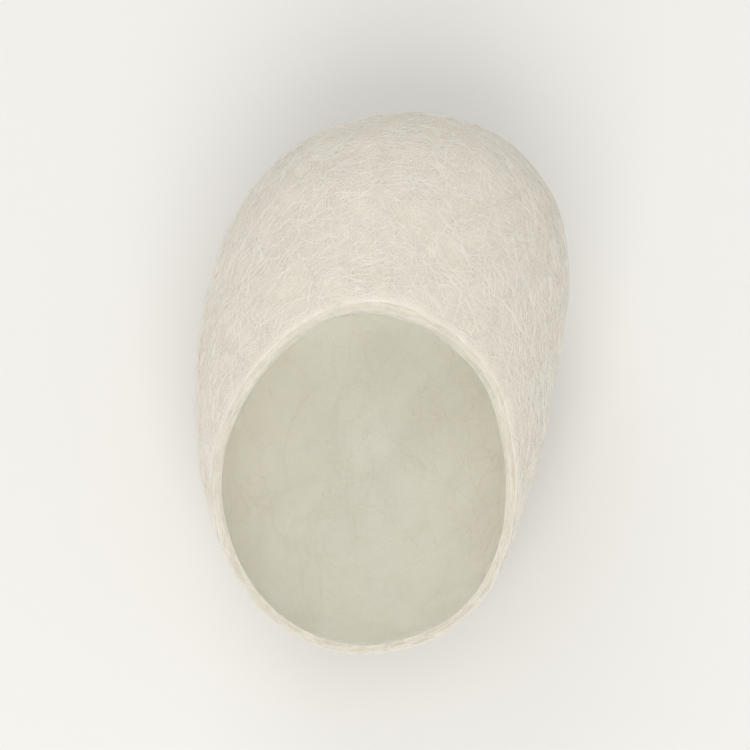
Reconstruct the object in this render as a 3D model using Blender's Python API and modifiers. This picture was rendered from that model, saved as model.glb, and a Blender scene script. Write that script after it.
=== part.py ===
"""A silk cocoon that has been cut open: one hollow shell with an oblique mouth.

Units are metres and +Z is up. The cocoon lies on its side with its axis along Y, its
closed end at +Y and its mouth at -Y, open to the front and upwards. It rests on a small
flat spot at Z = 0, and the origin is the middle of the underside of its box.
"""

import math

import bpy
from mathutils import Matrix, Vector, noise

# Driving dimensions of the cocoon as the silkworm spun it.
WIDTH = 0.0222  # across the middle
LENGTH = 0.0348  # end to end, before the cut
FULLNESS = 2.45  # power of the superellipse: 2 is an ellipse, more is blunter
TAPER = 0.11  # share by which the closed end is fuller than the middle
SIDE_BOW = 0.0013  # how far both ends stand to one side of the middle
WALL = 0.0006  # thickness of the layered silk

# The cut that opens it, a slightly bowed surface.
CUT_TILT = math.radians(42.5)  # of the cut, from the horizontal
CUT_TURN = math.radians(7.5)  # of the cut, towards one side
CUT_DISTANCE = 0.00725  # from the middle of the spun form to the cut
CUT_BOW = 0.0004  # rise of the cut at the edge of the mouth over its middle
CUT_WANDER = 0.00030  # how far the blade strays from that bow
CUT_WANDER_SPAN = 0.0075  # length of one stray

# Unevenness of the spun wall, and the spot that it rests on.
LUMP_HEIGHT = 0.00022
LUMP_SPAN = 0.0090
RIPPLE_HEIGHT = 0.00007
RIPPLE_SPAN = 0.0030
REST_DEPTH = 0.00032  # how much of the round side the resting spot takes off
REST_SETTLE = 0.00015  # what hangs no higher than this round it lies flat as well

# Fineness of the faceted surface.
SEGMENTS = 64  # round the axis
RINGS = 38  # from end to end
CUT_CELLS = 14  # across the cutting surface
MERGE_DISTANCE = 0.000001

# Finish.
SILK_COLOUR = (0.800, 0.757, 0.658, 1.0)  # ivory white, linear
SILK_ROUGHNESS = 0.72
SHARP_ANGLE = math.radians(40.0)


def radius(u):
    """Outer radius at u, which is -1 at the end that is cut and 1 at the closed end."""
    blunt = (1.0 - abs(u) ** FULLNESS) ** (1.0 / FULLNESS)
    return 0.5 * WIDTH * blunt * (1.0 + TAPER * u)


def widest_radius():
    """The largest outer radius, where the cocoon would touch a table."""
    samples = 400
    return max(radius(step / samples) for step in range(samples))


def lip_station():
    """Y, from the middle of the spun form, where the cut leaves the underside."""
    kept, removed = 0.0, -1.0
    for _ in range(40):
        u = 0.5 * (kept + removed)
        y = 0.5 * LENGTH * u
        forward = -math.sin(CUT_TILT) * math.cos(CUT_TURN) * y
        height_over_cut = forward - math.cos(CUT_TILT) * radius(u) - CUT_DISTANCE
        if height_over_cut > 0.0:
            removed = u
        else:
            kept = u
    return 0.5 * LENGTH * kept


def spun_middle():
    """Where the middle of the spun form lies once the cut cocoon stands on the origin."""
    middle_of_kept = 0.5 * (0.5 * LENGTH + lip_station())
    return Vector((0.0, -middle_of_kept, widest_radius() - REST_DEPTH))


def collection_named(name):
    """A new collection in the scene."""
    collection = bpy.data.collections.new(name)
    bpy.context.scene.collection.children.link(collection)
    return collection


def silk_material():
    """Undyed silk with its gum: ivory, matt, with a trace of sheen."""
    material = bpy.data.materials.new("silk")
    material.use_nodes = True
    material.diffuse_color = SILK_COLOUR
    shader = material.node_tree.nodes["Principled BSDF"]
    shader.inputs["Base Color"].default_value = SILK_COLOUR
    shader.inputs["Roughness"].default_value = SILK_ROUGHNESS
    shader.inputs["Metallic"].default_value = 0.0
    return material


def turned_form(collection):
    """The spun form before it has a wall: a profile turned about Z, as an object."""
    stations = [math.cos(math.pi * ring / RINGS) for ring in range(RINGS + 1)]
    profile = [(radius(u), 0.0, 0.5 * LENGTH * u) for u in stations]
    edges = [(index, index + 1) for index in range(RINGS)]
    mesh = bpy.data.meshes.new("profile")
    mesh.from_pydata(profile, edges, [])
    turned = bpy.data.objects.new("profile", mesh)
    collection.objects.link(turned)
    screw = turned.modifiers.new("turn", "SCREW")
    screw.steps = SEGMENTS
    screw.render_steps = SEGMENTS
    screw.use_merge_vertices = True
    screw.merge_threshold = MERGE_DISTANCE
    return turned


def made_mesh(source, name):
    """The evaluated mesh of an object, which is then removed."""
    evaluated = source.evaluated_get(bpy.context.evaluated_depsgraph_get())
    mesh = bpy.data.meshes.new_from_object(evaluated)
    mesh.name = name
    bpy.data.objects.remove(source)
    return mesh


def unevenness(point):
    """How far the spun wall stands out at a point: broad lumps with small ripples."""
    lumps = LUMP_HEIGHT * noise.noise(point / LUMP_SPAN)
    ripples = RIPPLE_HEIGHT * noise.noise(point / RIPPLE_SPAN)
    return lumps + ripples


def settle_wall(mesh):
    """Lay the form along Y, make its wall uneven, bow it and flatten its resting spot."""
    mesh.transform(Matrix.Rotation(math.radians(-90.0), 4, "X"))
    normals = [vertex.normal.copy() for vertex in mesh.vertices]
    middle = spun_middle()
    for vertex, normal in zip(mesh.vertices, normals):
        share = vertex.co.y / (0.5 * LENGTH)
        vertex.co += normal * unevenness(vertex.co) + middle
        vertex.co.x += SIDE_BOW * share * share
        if vertex.co.z < REST_SETTLE:
            vertex.co.z = 0.0


def make_cutter(collection):
    """The block that the cut takes away, with its bowed cutting surface below."""
    reach = 0.9 * LENGTH
    bpy.ops.mesh.primitive_grid_add(
        x_subdivisions=CUT_CELLS, y_subdivisions=CUT_CELLS, size=2.0 * reach
    )
    cutter = bpy.context.object
    cutter.name = "mouth_cutter"
    for vertex in cutter.data.vertices:
        across = vertex.co.x / (0.5 * WIDTH)
        wander = noise.noise(vertex.co / CUT_WANDER_SPAN)
        vertex.co.z = CUT_BOW * min(across * across, 2.0) + CUT_WANDER * wander
    block = cutter.modifiers.new("block", "SOLIDIFY")
    block.thickness = LENGTH
    block.offset = 1.0
    cutter.rotation_euler = (CUT_TILT, 0.0, CUT_TURN)
    facing = cutter.rotation_euler.to_matrix() @ Vector((0.0, 0.0, 1.0))
    cutter.location = spun_middle() + facing * CUT_DISTANCE
    cutter.display_type = "WIRE"
    cutter.hide_render = True
    for owner in list(cutter.users_collection):
        owner.objects.unlink(cutter)
    collection.objects.link(cutter)
    return cutter


def make_cocoon(collection, cutter):
    """The cocoon: the uneven form given its wall inwards, then opened by the cutter."""
    mesh = made_mesh(turned_form(collection), "cocoon")
    settle_wall(mesh)
    mesh.shade_smooth()
    mesh.set_sharp_from_angle(angle=SHARP_ANGLE)
    cocoon = bpy.data.objects.new("cocoon", mesh)
    collection.objects.link(cocoon)
    cocoon.data.materials.append(silk_material())
    wall = cocoon.modifiers.new("wall", "SOLIDIFY")
    wall.thickness = WALL
    wall.offset = -1.0
    mouth = cocoon.modifiers.new("mouth", "BOOLEAN")
    mouth.operation = "DIFFERENCE"
    mouth.solver = "EXACT"
    mouth.object = cutter
    return cocoon


def main():
    """Clear the scene and build the cocoon."""
    for leftover in list(bpy.data.objects):
        bpy.data.objects.remove(leftover)
    parts = collection_named("silk_cocoon")
    cutters = collection_named("cutters")
    cutter = make_cutter(cutters)
    make_cocoon(parts, cutter)


main()
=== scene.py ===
"""The looks of a silk cocoon that has been cut open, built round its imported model.

The cocoon lies on its side with its axis along Y, its closed end at +Y and its cut mouth
at -Y, open to the front and upwards. One fine shell replaces the faceted solid. On it lie
threads in the figure-of-eight loops that a silkworm spins, loose floss, and the fibre ends
that stand out of the cut. All lengths are metres.
"""

import logging
import math
from dataclasses import dataclass
from enum import Enum
from functools import partial

import bpy
import numpy as np
from mathutils import Matrix, Vector, noise


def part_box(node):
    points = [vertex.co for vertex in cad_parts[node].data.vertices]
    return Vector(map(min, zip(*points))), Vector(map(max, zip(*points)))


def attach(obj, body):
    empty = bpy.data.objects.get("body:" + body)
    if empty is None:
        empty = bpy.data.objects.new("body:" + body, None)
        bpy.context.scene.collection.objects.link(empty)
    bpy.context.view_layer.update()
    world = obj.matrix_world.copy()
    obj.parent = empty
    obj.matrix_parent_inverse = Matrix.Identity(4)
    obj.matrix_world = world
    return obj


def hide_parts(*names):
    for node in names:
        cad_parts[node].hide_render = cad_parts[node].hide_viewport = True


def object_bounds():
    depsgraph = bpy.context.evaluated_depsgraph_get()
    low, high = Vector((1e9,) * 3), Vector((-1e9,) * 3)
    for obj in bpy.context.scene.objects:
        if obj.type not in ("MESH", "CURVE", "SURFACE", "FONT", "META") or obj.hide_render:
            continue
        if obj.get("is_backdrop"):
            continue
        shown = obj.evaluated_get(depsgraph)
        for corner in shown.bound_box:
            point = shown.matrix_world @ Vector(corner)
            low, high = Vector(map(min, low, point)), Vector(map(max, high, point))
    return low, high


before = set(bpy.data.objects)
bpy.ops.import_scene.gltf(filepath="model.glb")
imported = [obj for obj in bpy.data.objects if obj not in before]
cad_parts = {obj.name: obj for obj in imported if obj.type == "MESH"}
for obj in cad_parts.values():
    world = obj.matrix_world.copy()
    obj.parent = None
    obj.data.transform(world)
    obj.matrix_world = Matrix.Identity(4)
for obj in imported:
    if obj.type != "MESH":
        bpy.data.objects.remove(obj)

Array = np.ndarray
Material = bpy.types.Material
Mesh = bpy.types.Mesh
Node = bpy.types.Node
Socket = bpy.types.NodeSocket
Thing = bpy.types.Object
Inputs = dict[str | int, object]
Triple = tuple[float, float, float]

NODE = "cocoon"  # the CAD node that the fine shell replaces
BODY = "root"

FULL_TURN = 2.0 * math.pi
PROFILE_POINTS = 4001  # points of the turned profile, about 0.01 mm apart
TOP_POINTS = 401  # points that the widest place is looked for among
HALVINGS = 24  # halvings of a search along a meridian, to well under a micrometre
NOISE_MIDDLE = 0.5  # what a noise gives on average
NOISE_STRETCH = 4.0  # turns a noise, mostly 0.25 to 0.75, into one of -1 to 1
SILK_IOR = 1.54
MATH = "ShaderNodeMath"
VECTOR_MATH = "ShaderNodeVectorMath"

log = logging.getLogger("cocoon")


def linear(code: str) -> tuple[float, float, float, float]:
    """Turn an sRGB colour into the linear one that Blender's sockets take.

    Args:
        code: The colour as six hex digits after a hash.

    Returns:
        Linear red, green, blue and an alpha of 1.
    """
    channels = [int(code[place : place + 2], 16) / 255.0 for place in (1, 3, 5)]
    bent = [c / 12.92 if c <= 0.04045 else ((c + 0.055) / 1.055) ** 2.4 for c in channels]
    return (*bent, 1.0)


def feed(node: Node, inputs: Inputs) -> Node:
    """Set or link inputs of a node.

    Args:
        node: The node.
        inputs: For each input, by name, identifier or number: a value, the socket that feeds
            it, or a node whose first output in use feeds it.

    Returns:
        The same node.
    """
    for key, value in inputs.items():
        if isinstance(key, int):
            socket = node.inputs[key]
        else:
            socket = next(s for s in node.inputs if s.enabled and key in (s.identifier, s.name))
        if isinstance(value, Node):
            value = next(s for s in value.outputs if s.enabled)
        if isinstance(value, Socket):
            node.id_data.links.new(value, socket)
        else:
            socket.default_value = value
    return node


def add_node(
    tree: bpy.types.NodeTree, kind: str, inputs: Inputs | None = None, **settings: object
) -> Node:
    """Add a node with its settings, values and links.

    Args:
        tree: The node tree that gets the node.
        kind: Blender's name for the kind of node.
        inputs: What its inputs are fed, as in feed.
        settings: The node's own properties, such as operation or data_type.

    Returns:
        The new node.
    """
    node = tree.nodes.new(kind)
    for name, value in settings.items():
        setattr(node, name, value)
    return feed(node, inputs or {})


def new_finish(name: str) -> tuple[Material, Node]:
    """Start a material.

    Args:
        name: The material's name.

    Returns:
        The material and its shader.
    """
    material = bpy.data.materials.new(name)
    material.use_nodes = True
    return material, material.node_tree.nodes["Principled BSDF"]


def put_in_scene(name: str, data: bpy.types.ID) -> Thing:
    """Put a mesh, a lamp or a camera into the scene.

    Args:
        name: The name of its object.
        data: The mesh, lamp or camera.

    Returns:
        The object, at the origin.
    """
    thing = bpy.data.objects.new(name, data)
    bpy.context.scene.collection.objects.link(thing)
    return thing


class Skin(Enum):
    """A surface of the wall, by how deep it lies in the wall: 0 outside, 1 inside."""

    OUTER = (-0.01, 0.01)
    CUT = (0.01, 0.99)
    INNER = (0.99, 1.01)


class Growth:
    """Geometry Nodes that grow a piece out of a mesh, named sizes and a material.

    Attributes:
        tree: The node tree.
        add: The function that adds a node to it.
        given: The sockets of its named inputs.
        place: The node with each point's place.
    """

    def __init__(self, name: str, inputs: dict[str, tuple[str, ...]]) -> None:
        """Start the tree. Its first input is the geometry, and its last the material.

        Args:
            name: The tree's name.
            inputs: The names of its other inputs, by their kind of socket.
        """
        self.tree = bpy.data.node_groups.new(name, "GeometryNodeTree")
        new_socket = self.tree.interface.new_socket
        for kind, labels in {"Geometry": ("Geometry",), **inputs, "Material": ("Material",)}.items():
            for label in labels:
                new_socket(label, in_out="INPUT", socket_type="NodeSocket" + kind)
        new_socket("Geometry", in_out="OUTPUT", socket_type="NodeSocketGeometry")
        self.add = partial(add_node, self.tree)
        self.given = self.add("NodeGroupInput").outputs
        self.place = self.add("GeometryNodeInputPosition")

    def noise(self, span: Socket, detail: float, distortion: float = 0.0) -> Node:
        """A noise whose lumps are about one span long.

        Args:
            span: Socket with the span.
            detail: Octaves of finer noise.
            distortion: How much the noise is stirred.

        Returns:
            The node with the noise, as a number and as a colour.
        """
        scale = self.add(MATH, {0: 1.0, 1: span}, operation="DIVIDE")
        inputs = {"Vector": self.place, "Scale": scale, "Detail": detail, "Distortion": distortion}
        return self.add("ShaderNodeTexNoise", inputs)

    def push(self, span: Socket, reach: Socket) -> Node:
        """A push in a direction that changes slowly from place to place.

        Args:
            span: Socket with the length over which the push changes.
            reach: Socket with the size of the push.

        Returns:
            The node with the push.
        """
        way = {0: self.noise(span, 1.0).outputs["Color"], 1: (NOISE_MIDDLE,) * 3}
        way = self.add(VECTOR_MATH, way, operation="SUBTRACT")
        return self.add(VECTOR_MATH, {0: way, "Scale": reach}, operation="SCALE")

    def wall_faces(self, least: Socket | float, most: Socket | float) -> Node:
        """The faces of the finished wall that lie at some depth in it.

        Args:
            least: The least depth.
            most: The most depth.

        Returns:
            The node with the faces.
        """
        wall = {"Object": self.given["Wall"]}
        wall = self.add("GeometryNodeObjectInfo", wall, transform_space="ORIGINAL")
        depth = self.add("GeometryNodeInputNamedAttribute", {"Name": "depth"}, data_type="FLOAT")
        deep = self.add("FunctionNodeCompare", {"A": depth, "B": least}, operation="GREATER_THAN")
        shallow = self.add("FunctionNodeCompare", {"A": depth, "B": most}, operation="LESS_THAN")
        both = self.add("FunctionNodeBooleanMath", {0: deep, 1: shallow}, operation="AND")
        chosen = {"Geometry": wall.outputs["Geometry"], "Selection": both}
        return self.add("GeometryNodeSeparateGeometry", chosen, domain="FACE")

    def set_down(self, starts: Node, line: Node, least: Triple, most: Triple, size: Node) -> Node:
        """Set copies of a line down on a surface, each at its own turn.

        Args:
            starts: The node with the scattered points.
            line: The node with the line.
            least: The least turn about each axis.
            most: The most turn about each axis.
            size: The node with each copy's size.

        Returns:
            The node with the copies.
        """
        turn = {"Min": least, "Max": most, "Seed": self.given["Seed"]}
        turn = self.add("FunctionNodeRandomValue", turn, data_type="FLOAT_VECTOR")
        turn = self.add("FunctionNodeEulerToRotation", {0: turn})
        turn = {"Rotation": starts.outputs["Rotation"], "Rotate By": turn}
        turn = self.add("FunctionNodeRotateRotation", turn, rotation_space="LOCAL")
        copies = {"Points": starts, "Instance": line, "Rotation": turn, "Scale": size}
        copies = self.add("GeometryNodeInstanceOnPoints", copies)
        return self.add("GeometryNodeRealizeInstances", {"Geometry": copies})

    def kept_above(self, geometry: Node, height: Socket) -> Node:
        """Lift whatever hangs lower than a height, so that nothing goes through the floor.

        Args:
            geometry: The node with the geometry.
            height: Socket with the height.

        Returns:
            The node with the lifted geometry.
        """
        parts = self.add("ShaderNodeSeparateXYZ", {0: self.place})
        above = self.add(MATH, {0: parts.outputs["Z"], 1: height}, operation="MAXIMUM")
        spot = {"X": parts.outputs["X"], "Y": parts.outputs["Y"], "Z": above}
        spot = self.add("ShaderNodeCombineXYZ", spot)
        return self.add("GeometryNodeSetPosition", {"Geometry": geometry, "Position": spot})

    def rounded(self, lines: Node) -> Node:
        """Give lines the thickness that the tree's Sides and Radius say.

        Args:
            lines: The node with the lines.

        Returns:
            The node with closed strands.
        """
        section = {"Resolution": self.given["Sides"], "Radius": self.given["Radius"]}
        section = self.add("GeometryNodeCurvePrimitiveCircle", section)
        strands = {"Curve": lines, "Profile Curve": section, "Fill Caps": True}
        return self.add("GeometryNodeCurveToMesh", strands)

    def end(self, geometry: Node) -> None:
        """End the tree: smooth shading, real geometry, one material.

        Args:
            geometry: The node with the finished geometry.
        """
        smooth = self.add("GeometryNodeSetShadeSmooth", {"Geometry": geometry})
        real = self.add("GeometryNodeRealizeInstances", {"Geometry": smooth})
        dressed = {"Geometry": real, "Material": self.given["Material"]}
        self.add("NodeGroupOutput", {"Geometry": self.add("GeometryNodeSetMaterial", dressed)})

    def grow(self, name: str, mesh: Mesh, sizes: object, **others: object) -> Thing:
        """Run the tree on a mesh and keep the result as a plain piece that rides on the body.

        Args:
            name: The piece's name.
            mesh: The mesh that the tree starts from.
            sizes: A dataclass whose fields are called what the tree's inputs are, such as
                loop_length for Loop Length.
            others: The tree's other inputs, called likewise.

        Returns:
            A mesh object with no modifier, in the scene.
        """
        seed = put_in_scene(name + "_seed", mesh)
        modifier = seed.modifiers.new("growth", "NODES")
        modifier.node_group = self.tree
        values = {**vars(sizes), **others}
        for item in self.tree.interface.items_tree:
            if item.in_out == "INPUT" and item.name != "Geometry":
                modifier[item.identifier] = values[item.name.lower().replace(" ", "_")]
        evaluated = seed.evaluated_get(bpy.context.evaluated_depsgraph_get())
        made = bpy.data.meshes.new_from_object(evaluated)
        made.name = name
        bpy.data.objects.remove(seed)
        piece = put_in_scene(name, made)
        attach(piece, BODY)
        log.info("%s: %d triangles", name, sum(len(face.vertices) - 2 for face in made.polygons))
        return piece


@dataclass(frozen=True)
class SpunForm:
    """The blunt oval that the silkworm spun, turned about Y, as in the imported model."""

    width: float = 0.0222  # across the middle
    length: float = 0.0348  # end to end, before the cut
    fullness: float = 2.45  # power of the superellipse: 2 is an ellipse, more is blunter
    taper: float = 0.11  # share by which the closed end is fuller than the middle
    side_bow: float = 0.0013  # how far both ends stand to one side of the middle
    wall: float = 0.0006  # thickness of the layered silk
    lump_height: float = 0.00022  # height of the broad lumps of the wall
    lump_span: float = 0.0090  # length of one lump
    ripple_height: float = 0.00007  # height of the small ripples on them
    ripple_span: float = 0.0030  # length of one ripple
    rest_depth: float = 0.00032  # how much of the round side the resting spot takes off

    def radius(self, u: Array) -> Array:
        """Outer radius at u, which is -1 at the end that was cut off and 1 at the closed end."""
        blunt = np.maximum(1.0 - np.abs(u) ** self.fullness, 0.0) ** (1.0 / self.fullness)
        return 0.5 * self.width * blunt * (1.0 + self.taper * u)

    def axis_height(self) -> float:
        """Height of the axis over the floor."""
        return float(self.radius(np.linspace(0.0, 1.0, TOP_POINTS)).max()) - self.rest_depth

    def profile(self) -> tuple[Array, ...]:
        """The turned profile, from the closed pole to the other.

        Returns:
            Arc length, Y, radius, and the outward normal's shares along Y and along the radius.
        """
        turn = np.linspace(0.0, math.pi, PROFILE_POINTS)
        along = 0.5 * self.length * np.cos(turn)
        radius = self.radius(np.cos(turn))
        steps = np.hypot(np.diff(along), np.diff(radius))
        arc = np.concatenate(([0.0], np.cumsum(steps)))
        slope_along, slope_radius = np.gradient(along, arc), np.gradient(radius, arc)
        size = np.hypot(slope_along, slope_radius)
        return arc, along, radius, slope_radius / size, -slope_along / size

    def unevenness(self, points: Array) -> Array:
        """How far the spun wall stands out at each point.

        Args:
            points: Points of the even form.

        Returns:
            One height for each point.
        """
        lumps = [noise.noise(Vector(p) / self.lump_span) for p in points]
        ripples = [noise.noise(Vector(p) / self.ripple_span) for p in points]
        return self.lump_height * np.array(lumps) + self.ripple_height * np.array(ripples)

    def surface(self, arc: Array, turn: Array, skin: Skin) -> Array:
        """Points of the wall, measured from the middle of the spun form.

        Args:
            arc: Distance of each point from the closed pole, along the profile.
            turn: Each point's angle about the axis, 0 at the underside.
            skin: The outer or the inner surface.

        Returns:
            The points.
        """
        table, along, radius, normal_along, normal_out = self.profile()
        reach = np.interp(arc, table, radius)
        out = np.interp(arc, table, normal_out)
        sideways, down = np.sin(turn), -np.cos(turn)
        base = np.stack((reach * sideways, np.interp(arc, table, along), reach * down), axis=1)
        normal = np.stack((out * sideways, np.interp(arc, table, normal_along), out * down), axis=1)
        points = base + normal * self.unevenness(base)[:, None]
        points[:, 0] += self.side_bow * (base[:, 1] / (0.5 * self.length)) ** 2
        floor = -self.axis_height()
        if skin is Skin.INNER:
            points = points - normal * self.wall
            floor += self.wall
        points[:, 2] = np.maximum(points[:, 2], floor)
        return points


@dataclass(frozen=True)
class MouthCut:
    """The slanting, slightly bowed cut that opened the cocoon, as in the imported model."""

    tilt: float = math.radians(42.5)  # angle of the cut from the horizontal
    turn: float = math.radians(7.5)  # angle of the cut towards one side
    distance: float = 0.00725  # from the middle of the spun form to the cut
    bow: float = 0.0004  # rise of the cut at the edge of the mouth over its middle
    most_bow: float = 2.0  # most of that rise further out, as a share of it
    wander: float = 0.0003  # how far the blade strays from that bow
    wander_span: float = 0.0075  # length of one stray

    def directions(self) -> tuple[Array, ...]:
        """The directions across the cut, up the cut and out of it."""
        turned = Matrix.Rotation(self.turn, 3, "Z") @ Matrix.Rotation(self.tilt, 3, "X")
        return tuple(np.array(turned.col[axis]) for axis in range(3))

    def height(self, points: Array, width: float) -> Array:
        """Height of each point over the cut: what lies above it was cut away.

        Args:
            points: Points measured from the middle of the spun form.
            width: Width of the cocoon.

        Returns:
            Signed heights.
        """
        across, up, out = (points @ direction for direction in self.directions())
        places = zip(across / self.wander_span, up / self.wander_span)
        strays = np.array([noise.noise(Vector((x, y, 0.0))) for x, y in places])
        bowed = self.bow * np.minimum((across / (0.5 * width)) ** 2, self.most_bow)
        return out - self.distance - (bowed + self.wander * strays)


def round_noise(turn: Array, laps: float, seed: float) -> Array:
    """Noise round the mouth, about zero, that meets itself after a full turn.

    Args:
        turn: Angles round the mouth.
        laps: Fineness: about six lumps to each unit.
        seed: Which noise.

    Returns:
        One value for each angle.
    """
    places = ((laps * math.cos(angle), laps * math.sin(angle), seed) for angle in turn)
    return np.array([noise.noise(Vector(place)) for place in places])


def ring_faces(rings: int, count: int) -> list[tuple[int, ...]]:
    """Faces of a closed form made of rings of points, with a pole at each end.

    Args:
        rings: How many rings it has.
        count: Points in each ring.

    Returns:
        The faces, facing outward where the rings run from +Y to -Y and turn about +Y. The
        poles, of the first ring and then of the last, are the two points after the rings.
    """
    last = (rings - 1) * count
    faces = []
    for ring in range(0, last, count):
        for place in range(count):
            beside = (place + 1) % count
            faces.append((ring + place, ring + beside, ring + count + beside, ring + count + place))
    for place in range(count):
        beside = (place + 1) % count
        faces.append((rings * count, beside, place))
        faces.append((last + place, last + beside, rings * count + 1))
    return faces


@dataclass(frozen=True)
class RawSilkWall:
    """Raw silk felted from gummed thread: matt and papery, and light passes through it."""

    # The outside's tones are the silk's ivory set darker than its threads: painted shade for the gaps
    # between the threads.
    outer: str = "#F1EBE0"  # the outside
    painted_crease_shade: str = "#EAE3D6"  # painted shade in the creases between its wrinkles
    gummed: str = "#EFE7D9"  # where the gum lies thicker
    inner: str = "#FEFAE9"  # the smooth lining, a little yellower with gum
    cut: str = "#E2DBCD"  # the cut sheets, darkened with painted shade for the gaps between them
    cut_corner: float = 12.0  # how sharply that colour and its painted shade start at the corners of the cut edge
    mottle_span: float = 0.0035  # length of a patch where the gum is thicker or thinner
    # Real threads are 0.03 mm apart, too fine to show: the felt is drawn five times coarser.
    thread_span: float = 0.00016  # width of a ridge of thread
    thread_run: float = 0.0022  # length over which a thread runs straight
    thread_relief: float = 0.000016  # height of the threads in the bump
    thread_ways: int = 8  # how many directions of thread cross
    way_turn: Triple = (97.0, 50.0, 61.0)  # degrees about each axis from one to the next
    ridge_sharpness: float = 12.0  # more makes the ridges narrower
    roughness: float = 0.62
    specular: float = 0.3  # less than solid silk reflects, because the felt is full of gaps
    sheen: float = 0.15  # how much the fine fibres catch grazing light
    sheen_roughness: float = 0.4  # how soft that sheen is
    glow: float = 0.8  # share of the light that travels through the silk
    glow_tint: Triple = (1.0, 0.95, 0.87)  # how far red, green and blue travel, as shares
    glow_reach: float = 0.0014  # of this distance

    def threads(self, place: Socket) -> Node:
        """Fine ridges that run in many directions and cross, like felted thread.

        Args:
            place: Socket with the place.

        Returns:
            The node with the ridges: 1 on a thread, 0 between threads.
        """
        add = partial(add_node, place.id_data)
        stir = {"Vector": place, "Scale": 0.5 / self.thread_run, "Detail": 1.0}
        stir = add("ShaderNodeTexNoise", stir).outputs["Color"]
        bent = {0: stir, 1: (self.thread_run,) * 3, 2: place}
        bent = add(VECTOR_MATH, bent, operation="MULTIPLY_ADD")
        scale = (1.0 / self.thread_run, 1.0 / self.thread_span, 1.0 / self.thread_span)
        top = None
        for way in range(self.thread_ways):
            turn = tuple(math.radians(angle * way) for angle in self.way_turn)
            laid = add("ShaderNodeMapping", {"Vector": bent, "Rotation": turn})
            drawn = add(VECTOR_MATH, {0: laid, 1: scale}, operation="MULTIPLY")
            streak = add("ShaderNodeTexNoise", {"Vector": drawn, "Scale": 1.0, "Detail": 0.0})
            off = add(MATH, {0: streak, 1: NOISE_MIDDLE}, operation="SUBTRACT")
            off = add(MATH, {0: off}, operation="ABSOLUTE")
            ridge = {0: off, 1: -self.ridge_sharpness, 2: 1.0}
            ridge = add(MATH, ridge, operation="MULTIPLY_ADD", use_clamp=True)
            top = ridge if top is None else add(MATH, {0: top, 1: ridge}, operation="MAXIMUM")
        return top

    def colours(self, place: Socket) -> Node:
        """Silk colour: gum patches, painted shade in creases, the lining, and a cut edge darkened with
        painted shade.

        Args:
            place: Socket with the place.

        Returns:
            The node with the colour.
        """
        add = partial(add_node, place.id_data)
        depth = add("ShaderNodeAttribute", attribute_name="depth").outputs["Fac"]
        relief = add("ShaderNodeAttribute", attribute_name="relief").outputs["Fac"]
        patches = {"Vector": place, "Scale": 1.0 / self.mottle_span, "Detail": 2.0}
        patches = add("ShaderNodeTexNoise", patches)
        # The cut edge's share, 1 across the edge and fading at its corners: there the colour is
        # darkened with painted shade for the gaps between the sheets.
        rest = add(MATH, {0: 1.0, 1: depth}, operation="SUBTRACT")
        within = add(MATH, {0: depth, 1: rest}, operation="MULTIPLY")
        within = add(MATH, {0: within, 1: self.cut_corner}, operation="MULTIPLY", use_clamp=True)
        colour = linear(self.outer)
        for share, old, new, code in (
            (patches, "A", "B", self.gummed),
            (relief, "B", "A", self.painted_crease_shade),
            (depth, "A", "B", self.inner),
            (within, "A", "B", self.cut),
        ):
            mixed = {"Factor": share, old: colour, new: linear(code)}
            colour = add("ShaderNodeMix", mixed, data_type="RGBA")
        return colour

    def material(self) -> Material:
        """Build the wall's material.

        Returns:
            The material.
        """
        # Raw silk, spun wet and dried in its own gum. The eye sees matt, papery ivory with a
        # faint sheen, fine crossing threads, and light that glows through where it is thin.
        material, shader = new_finish("raw_silk_wall")
        place = add_node(material.node_tree, "ShaderNodeTexCoord").outputs["Object"]
        relief = {"Height": self.threads(place), "Distance": self.thread_relief}
        finish = {
            "Base Color": self.colours(place),
            "Normal": add_node(material.node_tree, "ShaderNodeBump", relief),
            "Roughness": self.roughness,
            "IOR": SILK_IOR,
            "Specular IOR Level": self.specular,
            "Sheen Weight": self.sheen,
            "Sheen Roughness": self.sheen_roughness,
            "Subsurface Weight": self.glow,
            "Subsurface Radius": self.glow_tint,
            "Subsurface Scale": self.glow_reach,
        }
        feed(shader, finish)
        return material


@dataclass(frozen=True)
class DrawnThread:
    """Single silk thread as it was drawn: smoother than the felt, so it glints a little."""

    colour: str = "#FBF7EF"  # bare thread
    gummed: str = "#F9F3E8"  # where the gum lies thicker
    gum_span: float = 0.0025  # length of a patch of thicker gum
    roughness: float = 0.5
    sheen: float = 0.1  # how much it catches grazing light

    def material(self, name: str) -> Material:
        """Build the thread's material.

        Args:
            name: The material's name.

        Returns:
            The material.
        """
        # Drawn silk is smooth and nearly clear. The eye sees it as bright lines on the matt
        # felt, whiter where it is bare and creamier where gum coats it.
        material, shader = new_finish(name)
        add = partial(add_node, material.node_tree)
        place = add("ShaderNodeTexCoord").outputs["Object"]
        gum = {"Vector": place, "Scale": 1.0 / self.gum_span, "Detail": 2.0}
        gum = add("ShaderNodeTexNoise", gum)
        tint = {"Factor": gum, "A": linear(self.gummed), "B": linear(self.colour)}
        tint = add("ShaderNodeMix", tint, data_type="RGBA")
        finish = {"Roughness": self.roughness, "IOR": SILK_IOR, "Sheen Weight": self.sheen}
        feed(shader, {"Base Color": tint, **finish})
        return material


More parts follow.
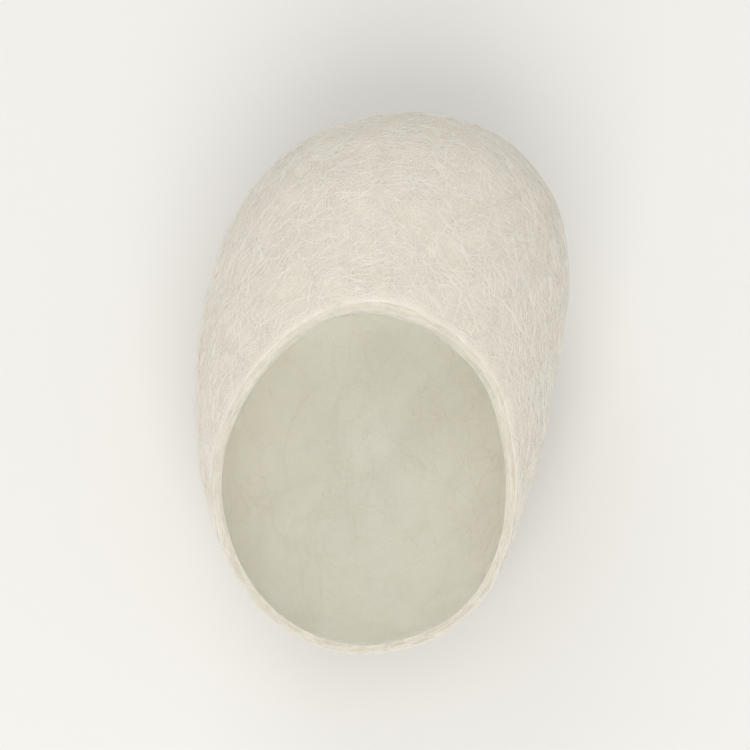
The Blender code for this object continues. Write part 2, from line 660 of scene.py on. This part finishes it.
@dataclass(frozen=True)
class CocoonWall:
    """The whole wall as one closed shell: outside, cut edge and lining."""

    form: SpunForm  # what the silkworm spun
    cut: MouthCut  # the cut that opened it
    meridians: int = 420  # lines from pole to mouth, round the axis
    outer_rows: int = 156  # rows of faces on the outside
    inner_rows: int = 52  # rows of faces on the lining
    # The last rows are these distances from the rim, which keeps its corner crisp.
    rim_rows: tuple[float, ...] = (0.00006, 0.00002, 0.0)
    layers: int = 5  # sheets of silk that show in the cut edge
    rows_per_layer: int = 3  # rows of faces across one sheet
    layer_play: float = 0.00012  # how far one sheet's edge stands before or behind the cut
    layer_laps: float = 4.0  # fineness of that play round the mouth
    layer_step: float = 1.7  # step from one sheet's noise to the next sheet's
    layer_fray: float = 0.00006  # how far that edge is frayed
    fray_laps: float = 26.0  # fineness of the fraying, a few tenths of a millimetre
    fray_step: float = 2.9  # step from one row's noise to the next row's
    layer_groove: float = 0.000025  # depth of the groove between two sheets
    crepe_height: float = 0.000070  # height of the pebbles over the creases between them
    crepe_span: float = 0.00095  # size of one pebble
    crepe_softness: float = 0.35  # how far the creases between pebbles are rounded
    crepe_middle: float = 0.5  # share of a pebble's height that lies outside the even form
    swell_height: float = 0.000035  # height of the slow swelling under the crepe
    swell_span: float = 0.0026  # length of one swelling
    swell_stir: float = 0.5  # how much the swelling is distorted
    lining_wrinkle: float = 0.12  # share of all this on the smooth lining and the cut edge
    floor: float = 0.0  # height that nothing goes below
    sharp_angle: float = math.radians(50.0)  # least angle of a corner that stays crisp
    spun_meridians: int = 72  # lines from pole to pole of the surface that threads start on
    spun_rings: int = 60  # rings of points round it

    def middle(self) -> Array:
        """Where the middle of the spun form lies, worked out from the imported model's box.

        Returns:
            Its place.
        """
        low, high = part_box(NODE)
        closed_end = self.form.surface(np.zeros(1), np.zeros(1), Skin.OUTER)[0, 1]
        return np.array((0.0, high[1] - closed_end, low[2] + self.form.axis_height()))

    def rim_arc(self, turn: Array, skin: Skin) -> Array:
        """Distance from the closed pole to the mouth along each meridian.

        Args:
            turn: Angles of the meridians.
            skin: The outer or the inner surface.

        Returns:
            One arc length for each meridian.
        """
        kept = np.zeros_like(turn)
        gone = np.full_like(turn, self.form.profile()[0][-1])
        for _ in range(HALVINGS):
            tried = 0.5 * (kept + gone)
            above = self.cut.height(self.form.surface(tried, turn, skin), self.form.width) > 0.0
            gone = np.where(above, tried, gone)
            kept = np.where(above, kept, tried)
        return kept

    def skin_rows(self, turn: Array, skin: Skin, rows: int) -> tuple[Array, Array]:
        """One surface, row by row from the first row past the pole to the rim.

        Args:
            turn: Angles of the meridians.
            skin: The outer or the inner surface.
            rows: How many rows it has.

        Returns:
            The points, and each point's distance from the rim.
        """
        rim = self.rim_arc(turn, skin)
        even = rim[None, :] * np.arange(1, rows + 1)[:, None] / rows
        way = np.concatenate((rim - even[:-1], np.outer(self.rim_rows, np.ones(len(turn)))))
        arc = rim - way
        points = self.form.surface(arc.ravel(), np.tile(turn, len(arc)), skin)
        return points.reshape(len(arc), len(turn), 3), way

    def edge_rows(self, outer: Array, inner: Array, turn: Array) -> Array:
        """The cut edge between the rims of the two surfaces, with its sheets of silk.

        Args:
            outer: Points of the outer rim.
            inner: Points of the inner rim.
            turn: Angles of the meridians.

        Returns:
            The points, row by row from the outer rim to the inner.
        """
        rows = []
        count = self.layers * self.rows_per_layer
        for row in range(1, count):
            share = row / count
            layer, place = divmod(row, self.rows_per_layer)
            played = self.layer_play * round_noise(turn, self.layer_laps, self.layer_step * layer)
            frayed = self.layer_fray * round_noise(turn, self.fray_laps, self.fray_step * row)
            groove = self.layer_groove if place == 0 else 0.0
            lift = (played + frayed - groove)[:, None]
            rows.append(outer * (1.0 - share) + inner * share + lift * self.cut.directions()[2])
        return np.array(rows)

    def mesh(self) -> Mesh:
        """The closed shell, before its wrinkles.

        Returns:
            The shell, with the attributes depth in the wall, wrinkle and to_rim, the distance
            to the rim.
        """
        turn = np.linspace(0.0, FULL_TURN, self.meridians, endpoint=False)
        outside, outer_way = self.skin_rows(turn, Skin.OUTER, self.outer_rows)
        lining, inner_way = self.skin_rows(turn, Skin.INNER, self.inner_rows)
        edge = self.edge_rows(outside[-1], lining[-1], turn)
        rows = np.concatenate((outside, edge, lining[::-1]))
        pole = np.zeros(1)
        poles = [self.form.surface(pole, pole, skin) for skin in (Skin.OUTER, Skin.INNER)]
        points = np.concatenate((rows.reshape(-1, 3), *poles)) + self.middle()
        mesh = bpy.data.meshes.new("wall")
        mesh.from_pydata(points.tolist(), [], ring_faces(len(rows), len(turn)))
        outer, inner = np.ones(len(outside)), np.ones(len(lining))
        edge_depth = np.arange(1, len(edge) + 1) / (len(edge) + 1.0)
        depth = np.concatenate((0.0 * outer, edge_depth, inner))
        smooth, far = self.lining_wrinkle, self.form.length
        wrinkle = np.concatenate((outer, np.full(len(edge), smooth), smooth * inner))
        way = np.concatenate((outer_way.ravel(), np.zeros(edge[..., 0].size), inner_way[::-1].ravel()))
        for name, values in (
            ("depth", (*np.repeat(depth, len(turn)), 0.0, 1.0)),
            ("wrinkle", (*np.repeat(wrinkle, len(turn)), 1.0, smooth)),
            ("to_rim", (*way, far, far)),
        ):
            mesh.attributes.new(name, "FLOAT", "POINT").data.foreach_set("value", values)
        return mesh

    def spun_skin(self, skin: Skin) -> Mesh:
        """One surface as it was spun, before the cut, for the threads to start on.

        Args:
            skin: The outer or the inner surface.

        Returns:
            The surface, closed at both ends.
        """
        turn = np.linspace(0.0, FULL_TURN, self.spun_meridians, endpoint=False)
        arc = np.linspace(0.0, self.form.profile()[0][-1], self.spun_rings + 2)
        round_arc, round_turn = np.repeat(arc[1:-1], len(turn)), np.tile(turn, self.spun_rings)
        rings = self.form.surface(round_arc, round_turn, skin)
        poles = self.form.surface(arc[[0, -1]], np.zeros(2), skin)
        mesh = bpy.data.meshes.new("spun_skin")
        points = np.concatenate((rings, poles)) + self.middle()
        mesh.from_pydata(points.tolist(), [], ring_faces(self.spun_rings, len(turn)))
        return mesh

    def crepe(self) -> Growth:
        """Geometry Nodes that wrinkle the silk like crepe and keep it off the floor.

        Returns:
            The growth of the wall.
        """
        sizes = ("Crepe Height", "Crepe Span", "Swell Height", "Swell Span", "Floor")
        growth = Growth("crepe", {"Float": sizes})
        add, given = growth.add, growth.given
        stir = growth.noise(given["Crepe Span"], 1.0).outputs["Color"]
        swirl = {0: stir, 1: given["Crepe Span"], 2: growth.place}
        swirl = add(VECTOR_MATH, swirl, operation="MULTIPLY_ADD")
        finer = add(MATH, {0: 1.0, 1: given["Crepe Span"]}, operation="DIVIDE")
        cells = {"Vector": swirl, "Scale": finer, "Smoothness": self.crepe_softness}
        cells = add("ShaderNodeTexVoronoi", cells, feature="SMOOTH_F1")
        pebble = add(MATH, {0: cells, 1: -1.0, 2: self.crepe_middle}, operation="MULTIPLY_ADD")
        crest = add(MATH, {0: pebble, 1: given["Crepe Height"]}, operation="MULTIPLY")
        swell = growth.noise(given["Swell Span"], 1.0, self.swell_stir)
        swell = {0: swell, 1: NOISE_STRETCH, 2: -NOISE_STRETCH * NOISE_MIDDLE}
        swell = add(MATH, swell, operation="MULTIPLY_ADD")
        height = {0: swell, 1: given["Swell Height"], 2: crest}
        height = add(MATH, height, operation="MULTIPLY_ADD")
        share = add("GeometryNodeInputNamedAttribute", {"Name": "wrinkle"}, data_type="FLOAT")
        lift = add(MATH, {0: height, 1: share}, operation="MULTIPLY")
        offset = {0: add("GeometryNodeInputNormal"), "Scale": lift}
        offset = add(VECTOR_MATH, offset, operation="SCALE")
        # Store how high each point stands among the pebbles as relief, which the colour uses to paint
        # shade into the creases.
        steeper = add(MATH, {0: 1.0, 1: given["Crepe Height"]}, operation="DIVIDE")
        relief = {0: crest, 1: steeper, 2: self.crepe_middle}
        relief = add(MATH, relief, operation="MULTIPLY_ADD", use_clamp=True)
        noted = {"Geometry": given["Geometry"], "Name": "relief", "Value": relief}
        noted = add("GeometryNodeStoreNamedAttribute", noted, data_type="FLOAT", domain="POINT")
        wrinkled = add("GeometryNodeSetPosition", {"Geometry": noted, "Offset": offset})
        growth.end(growth.kept_above(wrinkled, given["Floor"]))
        return growth

    def build(self, material: Material) -> Thing:
        """Build the wall, dress it and let it replace the faceted solid.

        Args:
            material: The wall's material.

        Returns:
            The wall.
        """
        wall = self.crepe().grow("cocoon_wall", self.mesh(), self, material=material)
        wall.data.set_sharp_from_angle(angle=self.sharp_angle)
        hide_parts(NODE)
        return wall


class LaidThreads(Growth):
    """Geometry Nodes that lay threads on one skin of the wall.

    Each thread starts as a run of figure-of-eight loops in a plane. It is set down at a
    random place and turn on the surface as it was spun, stirred a little, trimmed at the
    cut, and drawn onto the silk.
    """

    CROWD = 3.0  # places tried for each thread, so that the surface fills up evenly
    ROOM = 0.75  # least distance between two places, as a share of their mean distance
    SMALLEST = (0.6, 0.5, 1.0)  # least length and width, as shares of the layer's loop
    LARGEST = (1.25, 1.5, 1.0)  # most length and width

    def __init__(self) -> None:
        """Build the tree."""
        sizes = (
            "Least Depth", "Most Depth", "Density", "Turns", "Loop Length", "Loop Width", "Drift",
            "Stir", "Stir Span", "Lift", "Lift Play", "Lift Span", "Radius", "Rim Gap",
        )
        counts = ("Seed", "Points", "Sides")
        super().__init__("laid_threads", {"Object": ("Wall",), "Float": sizes, "Int": counts})
        given = self.given
        skin = self.wall_faces(given["Least Depth"], given["Most Depth"])
        size = {"Min": self.SMALLEST, "Max": self.LARGEST, "Seed": given["Seed"]}
        size = self.add("FunctionNodeRandomValue", size, data_type="FLOAT_VECTOR")
        flat, round_about = (0.0, 0.0, 0.0), (0.0, 0.0, FULL_TURN)
        laid = self.set_down(self.starts(), self.loops(), flat, round_about, size)
        stirred = {"Geometry": laid, "Offset": self.push(given["Stir Span"], given["Stir"])}
        stirred = self.add("GeometryNodeSetPosition", stirred)
        drawn = self.drawn_on(self.trimmed(stirred, skin), skin)
        self.end(self.rounded(self.kept_above(drawn, given["Radius"])))

    def starts(self) -> Node:
        """Places on the spun surface, scattered evenly.

        Returns:
            The node with the places.
        """
        add, given = self.add, self.given
        crowd = add(MATH, {0: given["Density"], 1: self.CROWD}, operation="MULTIPLY")
        apart = add(MATH, {0: given["Density"]}, operation="INVERSE_SQRT")
        apart = add(MATH, {0: apart, 1: self.ROOM}, operation="MULTIPLY")
        places = {"Mesh": given["Geometry"], "Distance Min": apart, "Density Max": crowd}
        places["Seed"] = given["Seed"]
        kind = "GeometryNodeDistributePointsOnFaces"
        return add(kind, places, distribute_method="POISSON")

    def loops(self) -> Node:
        """One thread's figure-of-eight loops, flat on the XY plane.

        Returns:
            The node with the loops.
        """
        add, given = self.add, self.given
        line = {"Start": (0.0, 0.0, 0.0), "End": (1.0, 0.0, 0.0)}
        line = add("GeometryNodeCurvePrimitiveLine", line)
        line = add("GeometryNodeResampleCurve", {"Curve": line, "Count": given["Points"]})
        share = add("GeometryNodeSplineParameter")
        turned = add(MATH, {0: share, 1: given["Turns"]}, operation="MULTIPLY")
        swings = []
        for laps, wave, label, half in (
            (1.0, "COSINE", "Loop Length", -0.5),
            (2.0, "SINE", "Loop Width", 0.5),
        ):
            angle = add(MATH, {0: turned, 1: laps * FULL_TURN}, operation="MULTIPLY")
            angle = add(MATH, {0: angle}, operation=wave)
            reach = add(MATH, {0: given[label], 1: half}, operation="MULTIPLY")
            swings.append(add(MATH, {0: angle, 1: reach}, operation="MULTIPLY"))
        along, across = swings
        across = {0: share, 1: given["Drift"], 2: across}
        across = add(MATH, across, operation="MULTIPLY_ADD")
        loop = add("ShaderNodeCombineXYZ", {"X": along, "Y": across})
        return add("GeometryNodeSetPosition", {"Geometry": line, "Position": loop})

    def trimmed(self, threads: Node, skin: Node) -> Node:
        """Take away what runs past the cut.

        Args:
            threads: The node with the threads.
            skin: The node with the faces that they lie on.

        Returns:
            The node with what is left of the threads.
        """
        strand = self.add("GeometryNodeCurveToMesh", {"Curve": threads})
        way = self.add("GeometryNodeInputNamedAttribute", {"Name": "to_rim"}, data_type="FLOAT")
        way = {"Mesh": skin, "Value": way, "Sample Position": self.place}
        way = self.add("GeometryNodeSampleNearestSurface", way, data_type="FLOAT")
        past = {"A": way, "B": self.given["Rim Gap"]}
        past = self.add("FunctionNodeCompare", past, operation="LESS_THAN")
        kept = {"Geometry": strand, "Selection": past}
        kept = self.add("GeometryNodeDeleteGeometry", kept, domain="POINT")
        return self.add("GeometryNodeMeshToCurve", {"Mesh": kept})

    def drawn_on(self, threads: Node, skin: Node) -> Node:
        """Draw the threads onto the silk, where they rise and dip a little.

        Args:
            threads: The node with the threads.
            skin: The node with the faces that they lie on.

        Returns:
            The node with the threads on the silk.
        """
        add, given = self.add, self.given
        nearest = {"Target": skin, "Source Position": self.place}
        nearest = add("GeometryNodeProximity", nearest, target_element="FACES")
        normal = add("GeometryNodeInputNormal")
        normal = {"Mesh": skin, "Value": normal, "Sample Position": self.place}
        normal = add("GeometryNodeSampleNearestSurface", normal, data_type="FLOAT_VECTOR")
        bob = {0: self.noise(given["Lift Span"], 0.0), 1: NOISE_MIDDLE}
        bob = add(MATH, bob, operation="SUBTRACT")
        lift = {0: bob, 1: given["Lift Play"], 2: given["Lift"]}
        lift = add(MATH, lift, operation="MULTIPLY_ADD")
        lift = add(VECTOR_MATH, {0: normal, "Scale": lift}, operation="SCALE")
        drawn = {"Geometry": threads, "Position": nearest, "Offset": lift}
        return add("GeometryNodeSetPosition", drawn)


@dataclass(frozen=True)
class ThreadLayer:
    """Threads laid on one skin of the wall."""

    name: str  # the piece's name
    skin: Skin  # the surface that they lie on
    density: float  # threads set down on a square metre
    seed: int  # seed of their places
    points: int = 44  # points along one thread
    turns: float = 1.0  # figure-of-eight loops in one thread; a half is a single S
    loop_length: float = 0.008  # length of one loop
    loop_width: float = 0.0035  # width of one loop
    drift: float = 0.002  # how far a thread moves on sideways over its length
    stir: float = 0.0015  # how far a thread is pushed off its loop
    stir_span: float = 0.004  # length over which that push changes
    lift: float = 0.000025  # height of the thread's middle over the silk
    lift_play: float = 0.00003  # how much that height varies along the thread
    lift_span: float = 0.0025  # length over which it varies
    # A real thread's radius is about 0.01 mm. The outer ones are drawn up to half as coarse
    # again, so that they show.
    radius: float = 0.000016  # radius of a thread
    sides: int = 3  # sides of its section
    rim_gap: float = 0.00006  # how far before the rim it ends

    def build(self, growth: LaidThreads, shell: CocoonWall, wall: Thing, material: Material) -> Thing:
        """Lay the threads and dress them.

        Args:
            growth: The Geometry Nodes that lay threads.
            shell: The form of the wall.
            wall: The wall that they lie on.
            material: Their material.

        Returns:
            The threads as one piece.
        """
        least, most = self.skin.value
        others = {"wall": wall, "material": material, "least_depth": least, "most_depth": most}
        return growth.grow(self.name, shell.spun_skin(self.skin), self, **others)


@dataclass(frozen=True)
class CutFibres:
    """Short ends of thread that stand out of the cut edge."""

    density: float = 2.6e7  # fibres on a square metre of the cut edge
    seed: int = 31  # seed of their places
    points: int = 7  # points along one fibre
    shortest: float = 0.00008  # length of the shortest
    longest: float = 0.00045  # length of the longest
    root: float = 0.2  # share of a fibre's length that is in the wall
    splay: float = math.radians(65.0)  # largest angle between a fibre and the cut's facing
    curl: float = 0.0004  # how far a fibre's tip is pushed aside
    curl_span: float = 0.0005  # length of one curl
    radius: float = 0.000010  # radius of a fibre
    sides: int = 3  # sides of its section

    def growth(self) -> Growth:
        """Geometry Nodes that scatter fibres over the cut edge and curl them.

        Returns:
            The growth of the fibres.
        """
        sizes = ("Density", "Shortest", "Longest", "Curl", "Curl Span", "Radius")
        inputs = {"Object": ("Wall",), "Float": sizes, "Int": ("Seed", "Points", "Sides")}
        growth = Growth("cut_fibres", inputs)
        add, given = growth.add, growth.given
        cut = growth.wall_faces(*Skin.CUT.value)
        starts = {"Mesh": cut, "Density": given["Density"], "Seed": given["Seed"]}
        starts = add("GeometryNodeDistributePointsOnFaces", starts)
        line = {"Start": (0.0, 0.0, -self.root), "End": (0.0, 0.0, 1.0 - self.root)}
        line = add("GeometryNodeCurvePrimitiveLine", line)
        line = add("GeometryNodeResampleCurve", {"Curve": line, "Count": given["Points"]})
        length = {"Min": given["Shortest"], "Max": given["Longest"], "Seed": given["Seed"]}
        length = add("FunctionNodeRandomValue", length, data_type="FLOAT")
        least, most = (-self.splay, -self.splay, 0.0), (self.splay, self.splay, math.pi)
        stood = growth.set_down(starts, line, least, most, length)
        share = add("GeometryNodeSplineParameter")
        curl = {0: growth.push(given["Curl Span"], given["Curl"]), "Scale": share}
        curl = add(VECTOR_MATH, curl, operation="SCALE")
        curled = add("GeometryNodeSetPosition", {"Geometry": stood, "Offset": curl})
        growth.end(growth.rounded(curled))
        return growth

    def build(self, wall: Thing, material: Material) -> Thing:
        """Stand the fibres up on the wall, all of them one piece of this material."""
        start = bpy.data.meshes.new("cut_fibres_start")
        return self.growth().grow("cut_fibres", start, self, wall=wall, material=material)


@dataclass(frozen=True)
class PaperFloor:
    """Matt paper: a pale, even ground with soft shadows and no glint."""

    colour: str = "#EEECE8"
    roughness: float = 0.9
    specular: float = 0.1

    def material(self) -> Material:
        """Build the floor's material.

        Returns:
            The material.
        """
        # Uncoated paper scatters light evenly. The eye sees a plain pale ground.
        material, shader = new_finish("matt_paper_floor")
        finish = {"Roughness": self.roughness, "Specular IOR Level": self.specular}
        feed(shader, {"Base Color": linear(self.colour), **finish})
        return material


@dataclass(frozen=True)
class Softbox:
    """A square studio lamp that shines at the cocoon."""

    name: str
    place: Triple
    size: float  # length of a side
    power: float  # watts

    def hang(self) -> None:
        """Hang the lamp, unseen by the camera."""
        data = bpy.data.lights.new(self.name, "AREA")
        data.size = self.size
        data.energy = self.power
        lamp = put_in_scene(self.name, data)
        lamp.location = self.place
        lamp.rotation_euler = (-Vector(self.place)).to_track_quat("-Z", "Y").to_euler()
        lamp.visible_camera = False


@dataclass(frozen=True)
class Studio:
    """A pale floor, soft light and the camera."""

    floor_size: float = 6.0  # side of the floor
    room_colour: str = "#F8F8F7"  # light that fills the room
    room_light: float = 0.64  # strength of that light
    lamps: tuple[Softbox, ...] = (
        Softbox("key_lamp", (-0.04, 0.00, 0.58), 0.40, 0.24),
        Softbox("front_lamp", (0.04, -0.38, 0.42), 0.34, 1.54),
        Softbox("back_lamp", (-0.22, 0.42, 0.36), 0.34, 0.50),
    )
    azimuth: float = math.radians(8.5)  # of the camera round the cocoon; 0 looks along +Y
    elevation: float = math.radians(70.0)  # of the camera above the horizon
    lens: float = 300.0  # focal length in millimetres
    sensor: float = 36.0  # width of the sensor in millimetres
    shown_height: float = 0.047  # height of the view at the cocoon
    nearest: float = 0.01  # nearest distance that the camera shows
    farthest: float = 50.0  # farthest distance that it shows

    def lay_floor(self) -> None:
        """Lay the floor."""
        half = 0.5 * self.floor_size
        mesh = bpy.data.meshes.new("floor")
        corners = [(-half, -half, 0.0), (half, -half, 0.0), (half, half, 0.0), (-half, half, 0.0)]
        mesh.from_pydata(corners, [], [(0, 1, 2, 3)])
        mesh.materials.append(PaperFloor().material())
        floor = put_in_scene("floor", mesh)
        floor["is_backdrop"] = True

    def light(self) -> None:
        """Fill the room with pale light and hang the three lamps: above, in front and behind."""
        world = bpy.data.worlds.new("room")
        world.use_nodes = True
        bpy.context.scene.world = world
        room = {"Color": linear(self.room_colour), "Strength": self.room_light}
        feed(world.node_tree.nodes["Background"], room)
        for lamp in self.lamps:
            lamp.hang()

    def set_camera(self) -> None:
        """Set up the camera at the photograph's viewing angle."""
        low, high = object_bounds()
        target = 0.5 * (low + high)
        level, rise = math.cos(self.elevation), math.sin(self.elevation)
        back = Vector((math.sin(self.azimuth) * level, -math.cos(self.azimuth) * level, rise))
        data = bpy.data.cameras.new("camera")
        data.lens = self.lens
        data.sensor_width = self.sensor
        data.clip_start = self.nearest
        data.clip_end = self.farthest
        camera = put_in_scene("camera", data)
        camera.location = target + back * (self.shown_height * self.lens / self.sensor)
        camera.rotation_euler = (-back).to_track_quat("-Z", "Y").to_euler()
        bpy.context.scene.camera = camera

    def build(self) -> None:
        """Build the studio, with colours shown as they are."""
        self.lay_floor()
        self.light()
        self.set_camera()
        bpy.context.scene.view_settings.view_transform = "Standard"


def main() -> None:
    """Build the cocoon and the studio."""
    logging.basicConfig(level=logging.INFO, format="%(name)s: %(message)s")
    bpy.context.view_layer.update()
    shell = CocoonWall(SpunForm(), MouthCut())
    wall = shell.build(RawSilkWall().material())
    outer, inner = Skin.OUTER, Skin.INNER
    threads = {
        outer: DrawnThread().material("drawn_silk_thread"),
        inner: DrawnThread("#FFFAEA", "#FEF6E2").material("gummed_lining_thread"),
    }
    growth = LaidThreads()
    for layer in (
        ThreadLayer("outer_threads_first", outer, 320000.0, 3, sides=4),
        ThreadLayer(
            "outer_threads_second", outer, 320000.0, 5, loop_length=0.006, loop_width=0.0042, sides=4
        ),
        ThreadLayer("outer_threads_last", outer, 400000.0, 7, lift=0.000035, radius=0.000013),
        ThreadLayer(
            "lining_threads", inner, 200000.0, 11, lift=0.000002, lift_play=0.000008, radius=0.000009
        ),
        ThreadLayer(
            "floss", outer, 40000.0, 23, turns=0.5, loop_length=0.016, loop_width=0.004,
            stir=0.004, lift=0.0001, lift_play=0.0005, radius=0.000010,
        ),
    ):
        layer.build(growth, shell, wall, threads[layer.skin])
    # The fibre ends are a little darker than the other threads: painted shade, to go with that of the
    # cut edge.
    CutFibres().build(wall, DrawnThread("#EEE8DC", "#E9E2D4").material("cut_thread_ends"))
    Studio().build()


if __name__ == "__main__":
    main()
